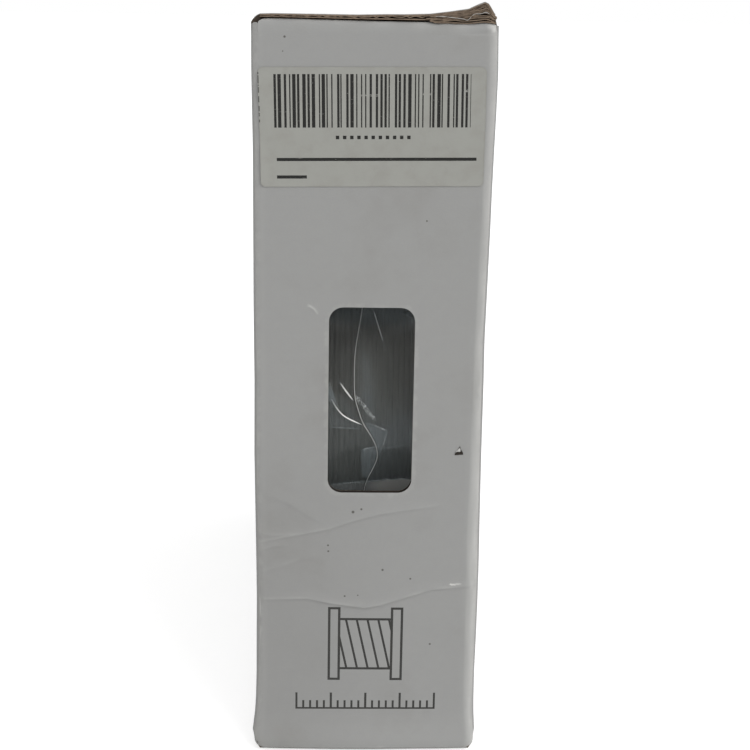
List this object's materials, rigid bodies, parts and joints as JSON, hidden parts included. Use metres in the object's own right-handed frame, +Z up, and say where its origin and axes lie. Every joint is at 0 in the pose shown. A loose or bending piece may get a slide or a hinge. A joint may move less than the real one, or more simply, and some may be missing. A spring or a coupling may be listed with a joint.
{
  "type": "windowed filament spool carton",
  "caption": "Tall narrow corrugated carton with a window in its front, holding a bagged spool of filament; the lid, its tuck flap and the dust flaps fold open.",
  "frame": {"origin": "middle of the carton's underside, as it stands", "axes": "+Z up, -Y out of the window face, +X to the right as seen from the front"},
  "size_m": [0.068, 0.2151, 0.223],
  "materials": {
    "white_lined_board": "matt white-lined paper over brown flutes, scuffed",
    "label_paper": "matt self-adhesive paper",
    "spool_plastic": "moulded, fine grain",
    "filament": "clear glossy thread wound tight",
    "bag_film": "clear wrinkled film",
    "sachet_paper": "white porous paper"
  },
  "bodies": {
    "carton": {"front_panel": "white_lined_board", "back_panel": "white_lined_board", "left_panel": "white_lined_board", "right_panel": "white_lined_board", "glue_flap": "white_lined_board", "bottom_front_flap": "white_lined_board", "bottom_back_flap": "white_lined_board", "bottom_left_flap": "white_lined_board", "bottom_right_flap": "white_lined_board", "front_label": "label_paper", "spool_left_half": "spool_plastic", "spool_right_half": "spool_plastic", "filament_core": "filament", "filament_layer": "filament", "bag_left_film": "bag_film", "bag_right_film": "bag_film", "bag_side_seam": "bag_film", "bag_mouth": "bag_film", "drying_sachet": "sachet_paper"},
    "lid": {"top_lid": "white_lined_board"},
    "tuck": {"top_tuck_flap": "white_lined_board"},
    "front_dust": {"top_front_dust_flap": "white_lined_board"},
    "back_dust": {"top_back_dust_flap": "white_lined_board"}
  },
  "joints": [
    {"name": "lid_fold", "type": "hinge", "parent": "carton", "child": "lid", "pos_m": [-0.034, 0, 0.223], "axis": [0, -1, 0], "range_deg": [0, 200]},
    {"name": "tuck_fold", "type": "hinge", "parent": "lid", "child": "tuck", "pos_m": [0.0317, 0, 0.223], "axis": [0, -1, 0], "range_deg": [0, 60]},
    {"name": "front_dust_fold", "type": "hinge", "parent": "carton", "child": "front_dust", "pos_m": [0, -0.1075, 0.2207], "axis": [1, 0, 0], "range_deg": [0, 110]},
    {"name": "back_dust_fold", "type": "hinge", "parent": "carton", "child": "back_dust", "pos_m": [0, 0.1075, 0.2207], "axis": [-1, 0, 0], "range_deg": [0, 110]}
  ],
  "couplings": [
    {"joint": "tuck_fold", "follows": "lid_fold", "ratio": 0.3},
    {"joint": "front_dust_fold", "follows": "lid_fold", "ratio": 0.55},
    {"joint": "back_dust_fold", "follows": "lid_fold", "ratio": 0.55}
  ]
}
